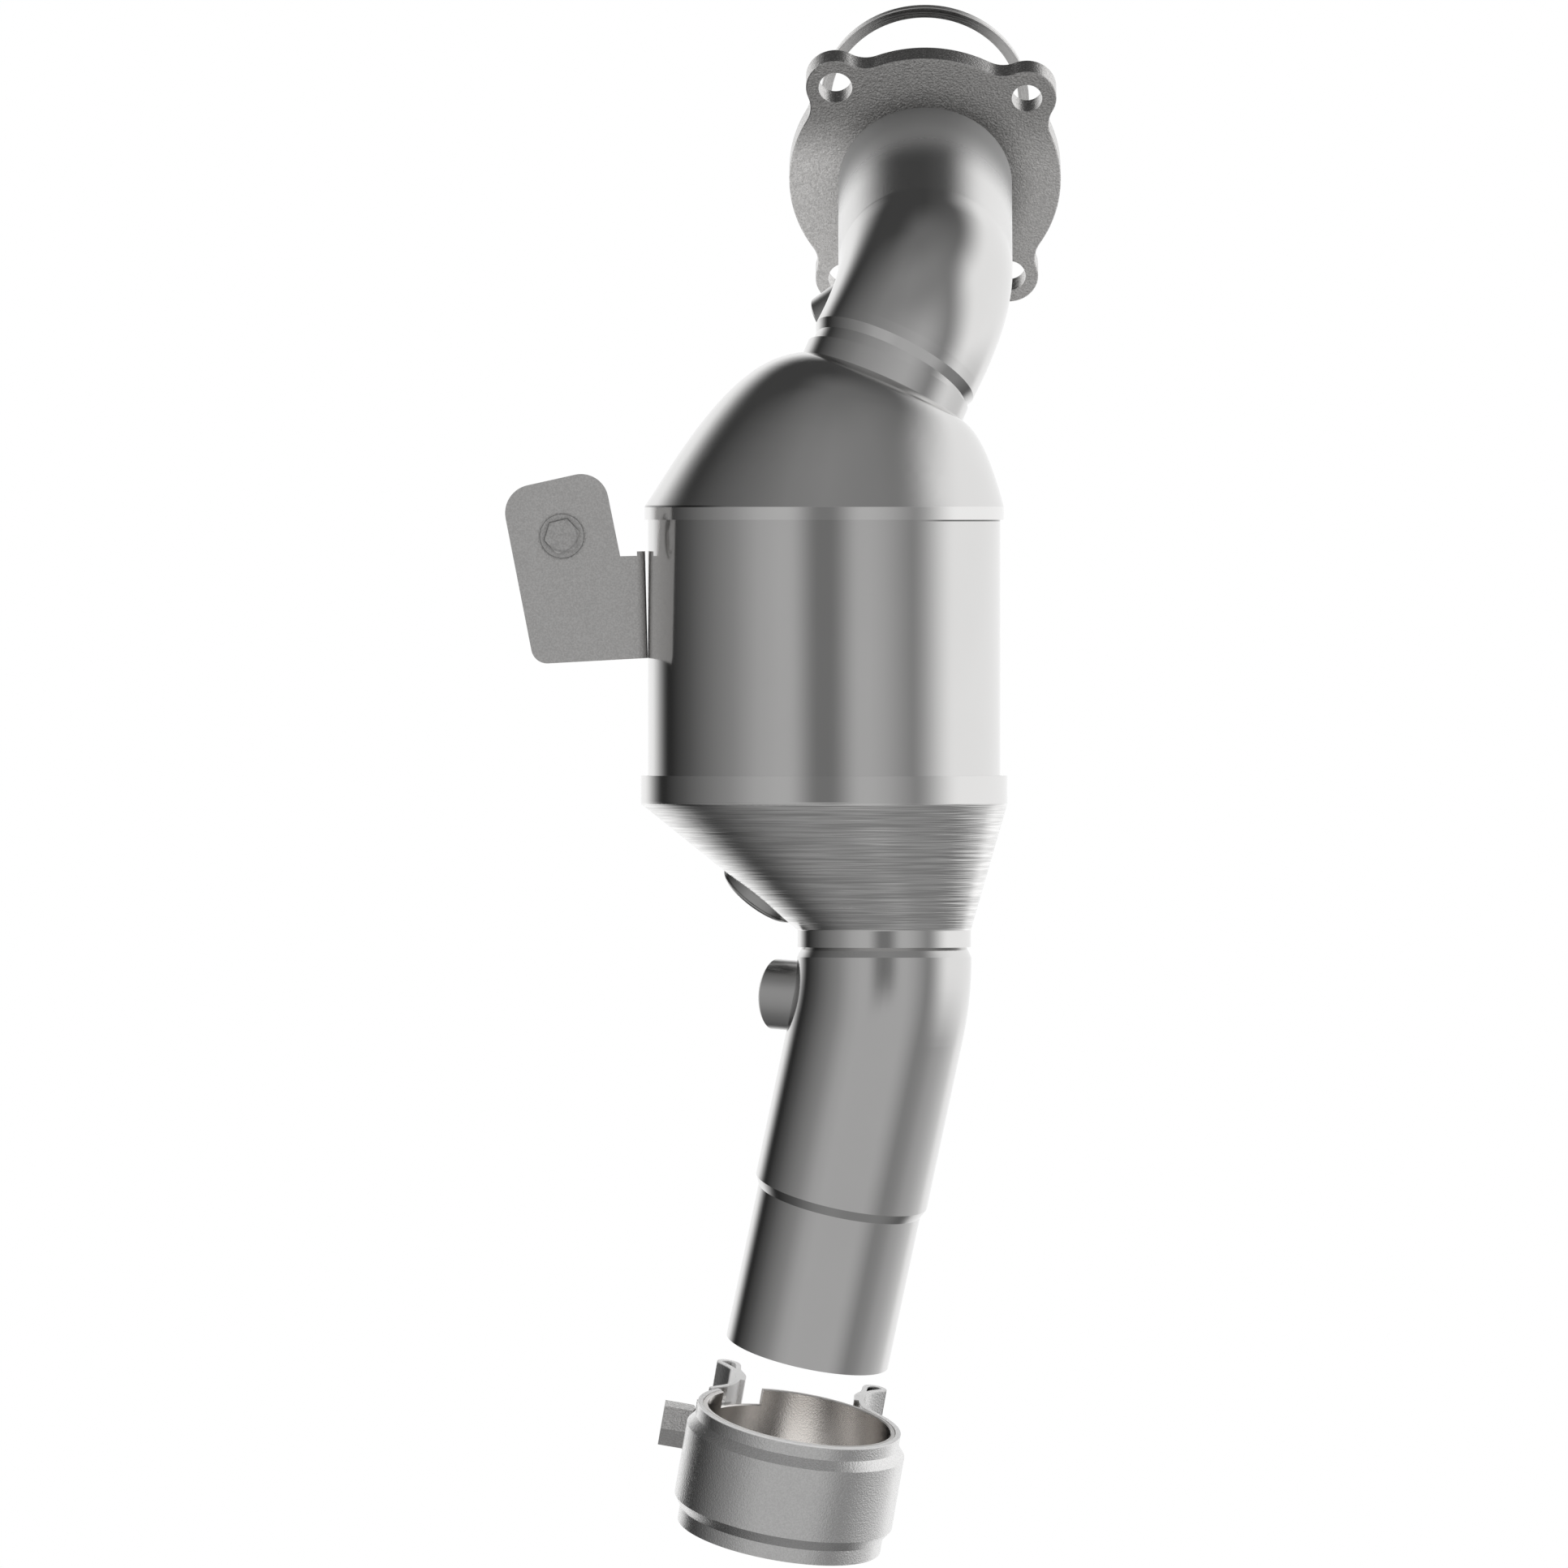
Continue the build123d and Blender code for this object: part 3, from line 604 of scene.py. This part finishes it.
def make_sleeve():
    shape = sleeve_ring()
    shape.transform(CLAMP_PLACE)
    mesh = bpy.data.meshes.new("clamp_sleeve_ring")
    shape.to_mesh(mesh)
    mesh.shade_smooth()
    mesh.set_sharp_from_angle(angle=math.radians(35))
    mesh.materials.append(sleeve_steel())
    sleeve = bpy.data.objects.new("clamp_sleeve_ring", mesh)
    bpy.context.scene.collection.objects.link(sleeve)
    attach(sleeve, "root")
    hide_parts("clamp_sleeve")


make_sleeve()


# Clamp bolt, nut and spacers. An M10 bolt runs through both lugs and draws them together; a spacer lies
# under its head and under the nut. All are machined steel, blasted; the shank's thread is rolled.
FASTENER_DARK = (0.70, 0.69, 0.68, 1)
FASTENER_LIGHT = (0.88, 0.87, 0.86, 1)
CLAMP_BOLT_MIDDLE = CLAMP_PLACE @ Vector((-0.0016, 0.050, -0.0241))
CLAMP_BOLT_R = 0.005
CLAMP_BOLT_PITCH = 0.0015


def clamp_bolt_steel():
    finish = Finish(bpy.data.materials.new("clamp_bolt_steel"))
    colour = finish.tint(specks(finish), FASTENER_DARK, FASTENER_LIGHT)
    ridges = rolled_thread(finish, CLAMP_BOLT_MIDDLE, CLAMP_X, CLAMP_BOLT_R, CLAMP_BOLT_PITCH)
    return finish.coat(colour, bolt_roughness(finish), bolt_bump(finish, ridges))


clothe("clamp_bolt", clamp_bolt_steel())
fastener_steel = blasted("bolt_steel", FASTENER_DARK, FASTENER_LIGHT, 0.22, 0.3)
for name in ("clamp_nut", "nut_spacer", "head_spacer"):
    clothe(name, fastener_steel)
for name in ("clamp_bolt", "clamp_nut"):
    round_edges(name, 0.0003)


# Floor. A plain sheet of pale paper, laid level below the object and outside the photograph's view. The
# photograph's metal doesn't mirror one, so it is left out of reflections.
FLOOR_R = 1.5
FLOOR_MIDDLE = (0, -0.11, -0.62)


def lay_floor():
    shape = bmesh.new()
    bmesh.ops.create_circle(shape, cap_ends=True, radius=FLOOR_R, segments=64)
    shape.transform(Matrix.Translation(FLOOR_MIDDLE))
    mesh = bpy.data.meshes.new("floor")
    shape.to_mesh(mesh)
    finish = Finish(bpy.data.materials.new("floor_paper"))
    mesh.materials.append(finish.coat((0.85, 0.85, 0.85, 1), 0.9, metallic=0.0))
    floor = bpy.data.objects.new("floor", mesh)
    bpy.context.scene.collection.objects.link(floor)
    floor.visible_glossy = False


lay_floor()


# Light. Reflections show a room: a tall white screen to the right, a white wall behind, and soft grey in
# front, which fades to black on the left and has a dark gap where the camera stands. The camera and
# diffuse rays see plain white instead.
def light_room():
    world = bpy.data.worlds.new("room")
    bpy.context.scene.world = world
    finish = Finish(world)
    direction = finish.out("ShaderNodeTexCoord", output="Generated")
    split = finish.node("ShaderNodeSeparateXYZ", None, {"Vector": direction})
    x, y, z = (Value(finish, split.outputs[side]) for side in "XYZ")
    turn = finish.math("ARCTAN2", x, -y) * math.degrees(1)
    lift = finish.math("ARCSINE", z) * math.degrees(1)
    drop = -lift

    def ring(*stops):
        """Grey that changes round the object. Each stop has its turn in degrees and its level."""
        placed = [((degrees + 180) / 360, (level, level, level, 1)) for degrees, level in stops]
        return finish.out("ShaderNodeValToRGB", {"stops": placed}, {"Fac": turn * (1 / 360) + 0.5})

    def blend(mask, first, second):
        return first + (second - first) * mask

    wall = ring((-180, 0.04), (-120, 0.03), (-100, 0.10), (-84, 0.18), (-62, 0.29), (-44, 0.44), (-30, 0.49),
                (30, 0.49), (40, 0.44), (60, 0.27), (90, 0.26), (130, 0.13), (180, 0.04))
    ceiling = ring((-180, 0.06), (-124, 0.06), (-84, 0.16), (-40, 0.25), (0, 0.28), (50, 0.25), (180, 0.06))
    gap = (1 - abs(turn).fade(3, 24)) * (1 - abs(lift).fade(4, 18))
    grey = blend(lift.fade(12, 52), wall * (1 - 0.6 * gap), ceiling)
    grey = blend(lift.fade(62, 90), grey, 0.18)
    grey = blend(drop.fade(36, 80), grey, 0.25)
    room = finish.out("ShaderNodeCombineColor", None, {"Red": grey, "Green": grey, "Blue": grey})

    screen = turn.fade(58, 96) * (1 - turn.fade(148, 165)) * (1 - lift.fade(27, 58)) * (1 - drop.fade(2, 34))
    right_wall = turn.fade(130, 150) * (1 - lift.fade(20, 42)) * (1 - drop.fade(14, 50))
    left_wall = (-turn).fade(124, 156) * (1 - lift.fade(16, 44)) * (1 - drop.fade(12, 48))
    white = 1 - (1 - screen) * (1 - right_wall) * (1 - left_wall)

    path = finish.node("ShaderNodeLightPath")
    camera, diffuse, glossy, through = (
        Value(finish, path.outputs[f"Is {kind} Ray"])
        for kind in ("Camera", "Diffuse", "Glossy", "Transmission"))
    seen_white = camera + diffuse + (glossy + through) * white
    colour = finish.tint(seen_white, room, (1, 1, 1, 1))
    background = finish.out("ShaderNodeBackground", None, {"Color": colour, "Strength": 1.0})
    finish.node("ShaderNodeOutputWorld", None, {"Surface": background})


light_room()


# Camera. A very long lens that looks at the middle of the object, a little from above. The picture's
# width and the size of one of its pixels at the object give the lens.
PICTURE_WIDTH = 1932
PIXEL = 0.0003
CAMERA_REACH = 24.0
CAMERA_TILT = math.radians(0.25)
SENSOR_WIDTH = 36
AIM = Vector((-0.05227, -0.07, -0.22624))


def place_camera():
    lens = bpy.data.cameras.new("camera")
    lens.sensor_width = SENSOR_WIDTH
    lens.lens = SENSOR_WIDTH * CAMERA_REACH / (PICTURE_WIDTH * PIXEL)
    lens.clip_end = 2 * CAMERA_REACH
    camera = bpy.data.objects.new("camera", lens)
    bpy.context.scene.collection.objects.link(camera)
    camera.location = AIM + Vector((0, -math.cos(CAMERA_TILT), math.sin(CAMERA_TILT))) * CAMERA_REACH
    camera.rotation_euler = (math.pi / 2 - CAMERA_TILT, 0, 0)
    bpy.context.scene.camera = camera
    bpy.context.scene.view_settings.view_transform = "Standard"


place_camera()
